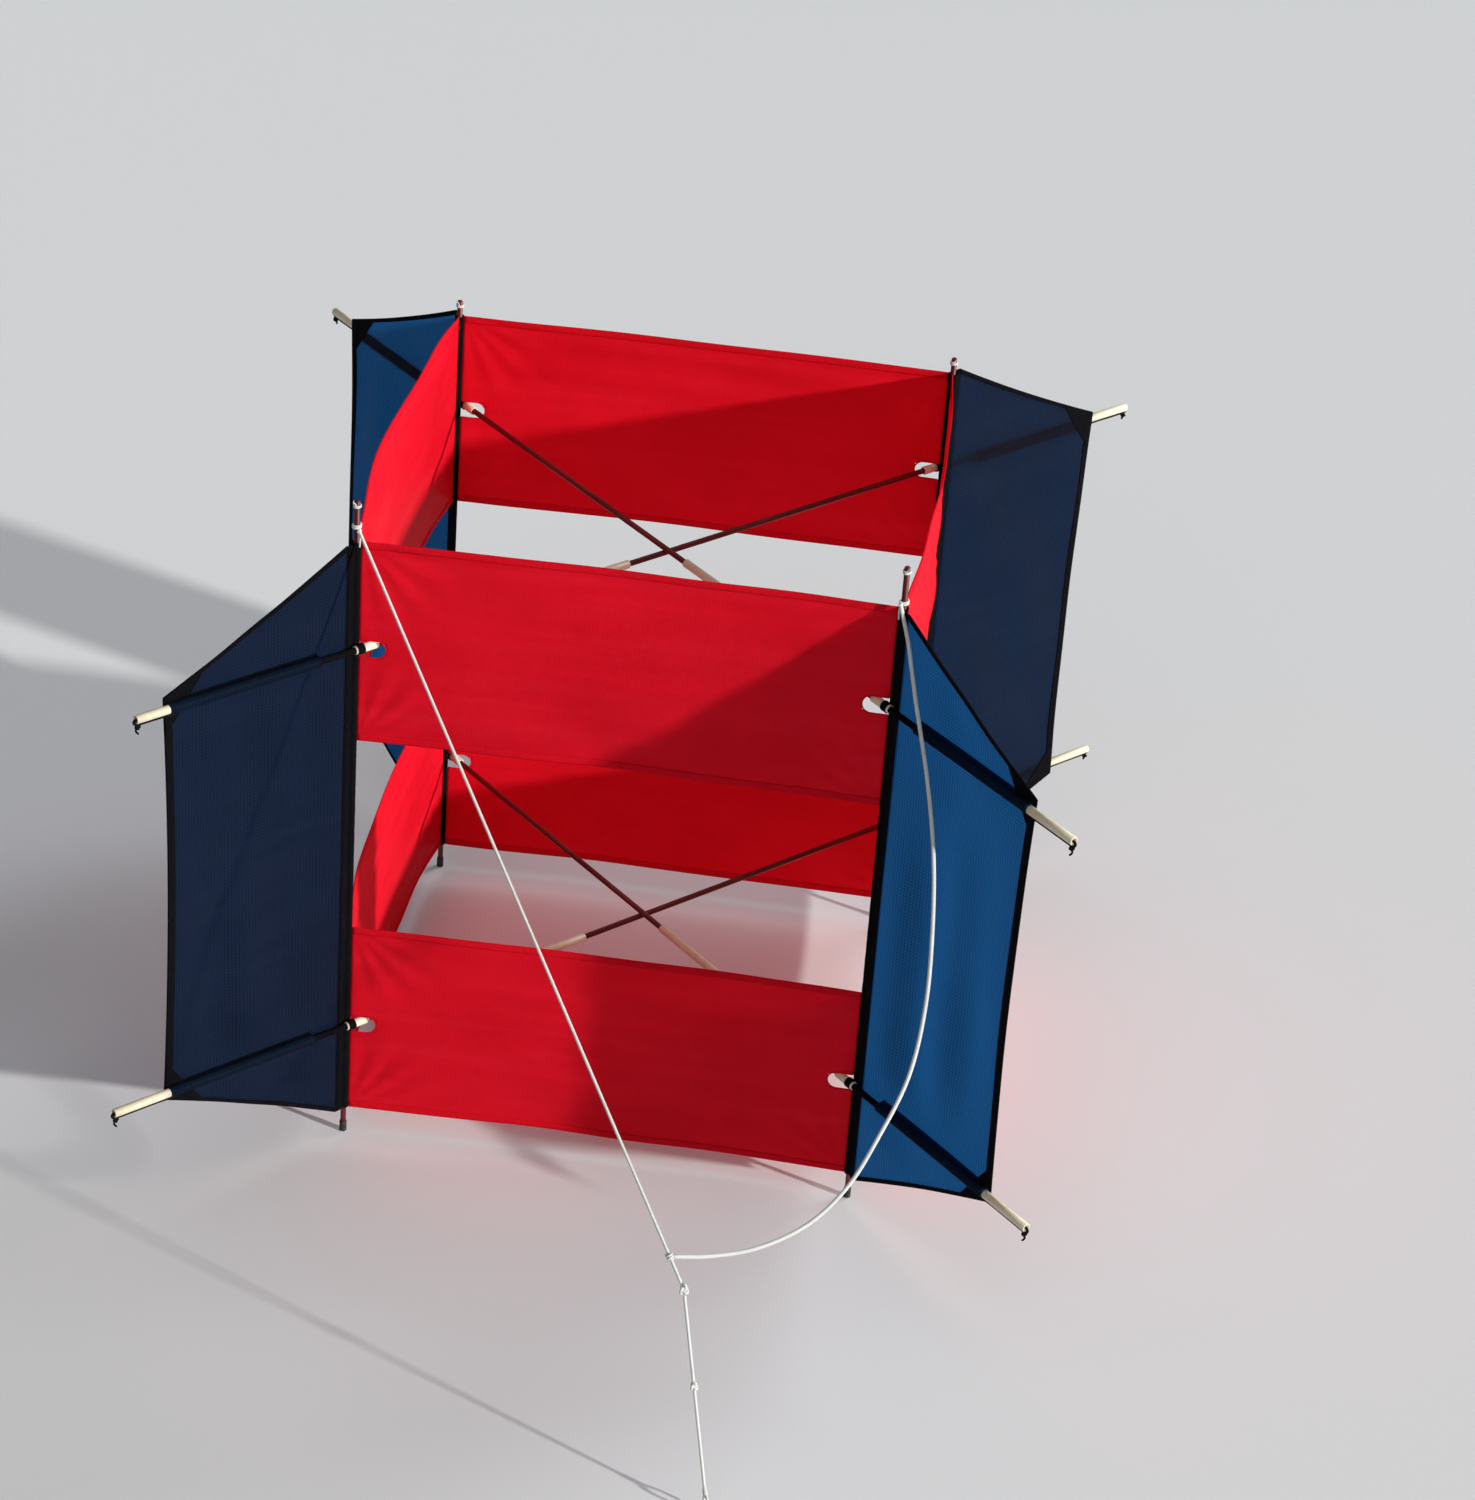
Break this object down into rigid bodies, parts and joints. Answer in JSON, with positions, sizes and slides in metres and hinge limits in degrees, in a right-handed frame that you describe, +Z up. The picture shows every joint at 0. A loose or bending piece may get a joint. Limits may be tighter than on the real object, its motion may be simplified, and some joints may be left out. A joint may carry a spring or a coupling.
{
  "type": "box kite",
  "caption": "Upright square box kite with open cloth cells, diagonal wings, cross spreaders that pull out endwise, and a bridle on its line.",
  "frame": {"origin": "on the ground under the centre of the square box, cords left out", "axes": "+X to the right seen from the flyer, +Y away from the flyer, +Z up along the longerons"},
  "size_m": [1.2392, 1.7292, 1.002],
  "materials": {
    "rod_wood": "stained satin",
    "tube_plastic": "matte",
    "cap_rubber": "matte",
    "red_cloth": "ripstop nylon",
    "navy_cloth": "ripstop nylon",
    "black_cloth": "woven",
    "line_cord": "braided"
  },
  "bodies": {
    "sail_frame": {"longeron_front_left": "rod_wood", "foot_cap_front_left": "cap_rubber", "longeron_sleeve_front_left": "black_cloth", "wing_front_left": "navy_cloth", "longeron_front_right": "rod_wood", "foot_cap_front_right": "cap_rubber", "longeron_sleeve_front_right": "black_cloth", "wing_front_right": "navy_cloth", "longeron_back_right": "rod_wood", "foot_cap_back_right": "cap_rubber", "longeron_sleeve_back_right": "black_cloth", "wing_back_right": "navy_cloth", "longeron_back_left": "rod_wood", "foot_cap_back_left": "cap_rubber", "longeron_sleeve_back_left": "black_cloth", "wing_back_left": "navy_cloth", "panel_lower_front": "red_cloth", "panel_lower_right": "red_cloth", "panel_lower_back": "red_cloth", "panel_lower_left": "red_cloth", "panel_upper_front": "red_cloth", "panel_upper_right": "red_cloth", "panel_upper_back": "red_cloth", "panel_upper_left": "red_cloth", "bridle_leg_left": "line_cord", "bridle_leg_right": "line_cord", "tow_knot": "line_cord", "line_toggle": "line_cord", "flying_line": "line_cord", "line_end_loop": "line_cord"},
    "spreader_lower_front_left": {"spreader_rod_lower_front_left": "rod_wood", "guard_tube_lower_front_left": "tube_plastic", "tip_tube_lower_front_left": "tube_plastic", "ferrule_lower_front_left": "tube_plastic"},
    "spreader_lower_front_right": {"spreader_rod_lower_front_right": "rod_wood", "guard_tube_lower_front_right": "tube_plastic", "tip_tube_lower_front_right": "tube_plastic", "ferrule_lower_front_right": "tube_plastic"},
    "spreader_lower_back_right": {"spreader_rod_lower_back_right": "rod_wood", "guard_tube_lower_back_right": "tube_plastic", "tip_tube_lower_back_right": "tube_plastic"},
    "spreader_lower_back_left": {"spreader_rod_lower_back_left": "rod_wood", "guard_tube_lower_back_left": "tube_plastic", "tip_tube_lower_back_left": "tube_plastic"},
    "spreader_upper_front_left": {"spreader_rod_upper_front_left": "rod_wood", "guard_tube_upper_front_left": "tube_plastic", "tip_tube_upper_front_left": "tube_plastic", "ferrule_upper_front_left": "tube_plastic"},
    "spreader_upper_front_right": {"spreader_rod_upper_front_right": "rod_wood", "guard_tube_upper_front_right": "tube_plastic", "tip_tube_upper_front_right": "tube_plastic", "ferrule_upper_front_right": "tube_plastic"},
    "spreader_upper_back_right": {"spreader_rod_upper_back_right": "rod_wood", "guard_tube_upper_back_right": "tube_plastic", "tip_tube_upper_back_right": "tube_plastic"},
    "spreader_upper_back_left": {"spreader_rod_upper_back_left": "rod_wood", "guard_tube_upper_back_left": "tube_plastic", "tip_tube_upper_back_left": "tube_plastic"}
  },
  "joints": [
    {"name": "pull_out_lower_front_left", "type": "slide", "parent": "sail_frame", "child": "spreader_lower_front_left", "axis": [-0.689, -0.7248, 0], "range_m": [0, 0.72]},
    {"name": "pull_out_lower_front_right", "type": "slide", "parent": "sail_frame", "child": "spreader_lower_front_right", "axis": [0.689, -0.7248, 0], "range_m": [0, 0.77]},
    {"name": "pull_out_lower_back_right", "type": "slide", "parent": "sail_frame", "child": "spreader_lower_back_right", "axis": [0.689, 0.7248, 0], "range_m": [0, 0.95]},
    {"name": "pull_out_lower_back_left", "type": "slide", "parent": "sail_frame", "child": "spreader_lower_back_left", "axis": [-0.689, 0.7248, 0], "range_m": [0, 0.95]},
    {"name": "pull_out_upper_front_left", "type": "slide", "parent": "sail_frame", "child": "spreader_upper_front_left", "axis": [-0.689, -0.7248, 0], "range_m": [0, 0.77]},
    {"name": "pull_out_upper_front_right", "type": "slide", "parent": "sail_frame", "child": "spreader_upper_front_right", "axis": [0.689, -0.7248, 0], "range_m": [0, 0.77]},
    {"name": "pull_out_upper_back_right", "type": "slide", "parent": "sail_frame", "child": "spreader_upper_back_right", "axis": [0.689, 0.7248, 0], "range_m": [0, 0.95]},
    {"name": "pull_out_upper_back_left", "type": "slide", "parent": "sail_frame", "child": "spreader_upper_back_left", "axis": [-0.689, 0.7248, 0], "range_m": [0, 0.95]}
  ]
}
